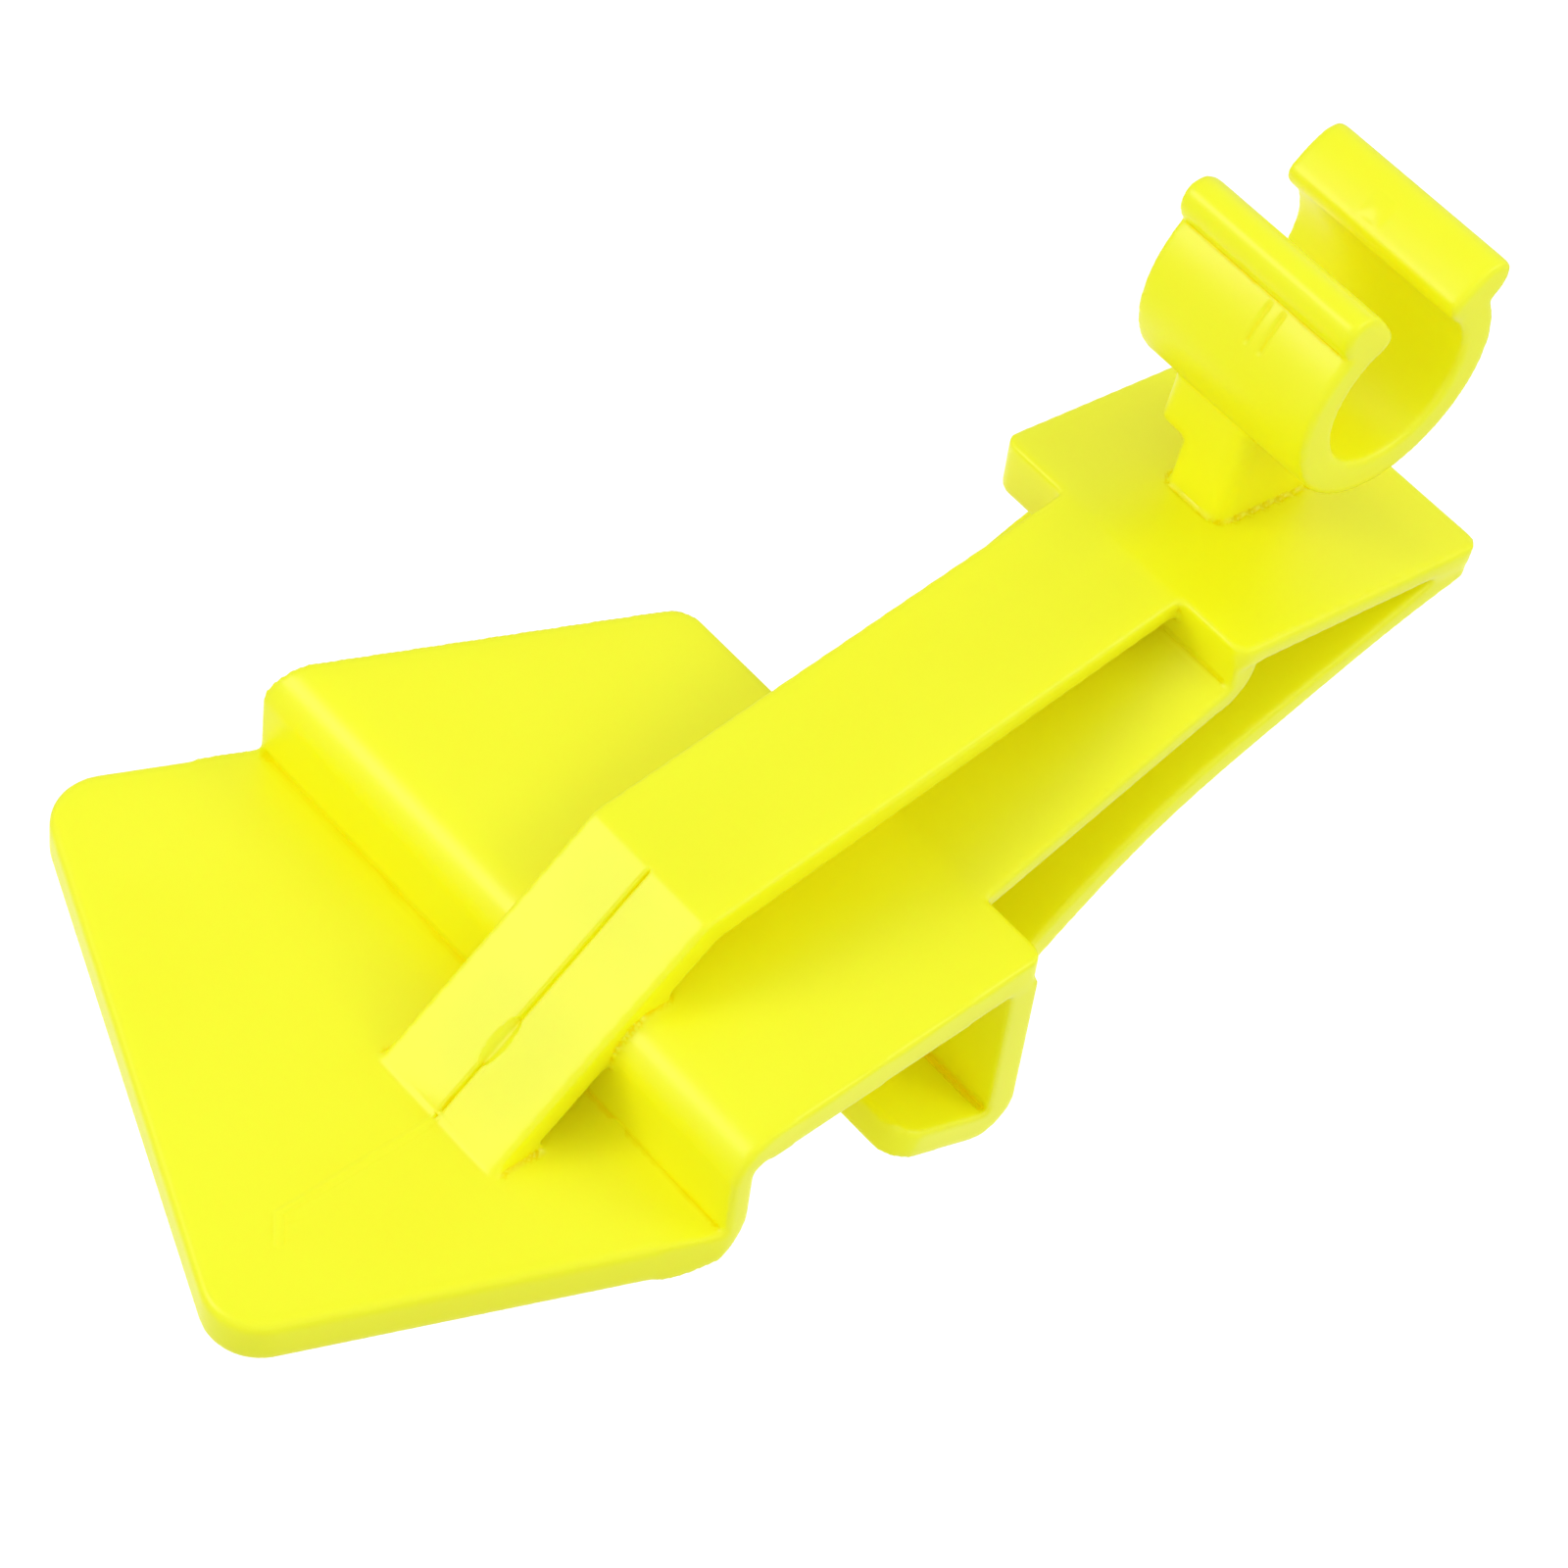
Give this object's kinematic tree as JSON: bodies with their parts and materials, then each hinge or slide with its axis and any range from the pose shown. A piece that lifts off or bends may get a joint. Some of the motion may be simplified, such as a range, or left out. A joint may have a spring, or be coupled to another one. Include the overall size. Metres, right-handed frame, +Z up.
{
  "type": "clip-on release lever",
  "caption": "Moulded plastic release lever: a stepped finger plate with a hooked foot, a strap-braced rising arm and a clip for a round rod.",
  "frame": {"origin": "centre of the rod clip's bore, midway along its length", "axes": "+Y along the clipped rod, +Z up, square to the finger plate; the finger plate lies towards -X"},
  "size_m": [0.0869, 0.047, 0.0439],
  "materials": {
    "yellow_plastic": "satin"
  },
  "bodies": {
    "root": {"finger_plate": "yellow_plastic", "step_riser": "yellow_plastic", "upper_plate": "yellow_plastic", "foot_wall": "yellow_plastic", "foot_lip": "yellow_plastic", "head_plate": "yellow_plastic", "head_flange": "yellow_plastic", "ramp_sheet": "yellow_plastic", "back_sheet": "yellow_plastic", "strap_run": "yellow_plastic", "strap_leg": "yellow_plastic", "strap_web": "yellow_plastic", "toe_web": "yellow_plastic", "arm_web": "yellow_plastic", "clip_ring": "yellow_plastic", "clip_lip_right": "yellow_plastic", "clip_lip_left": "yellow_plastic", "clip_saddle": "yellow_plastic", "clip_post": "yellow_plastic"}
  },
  "joints": []
}
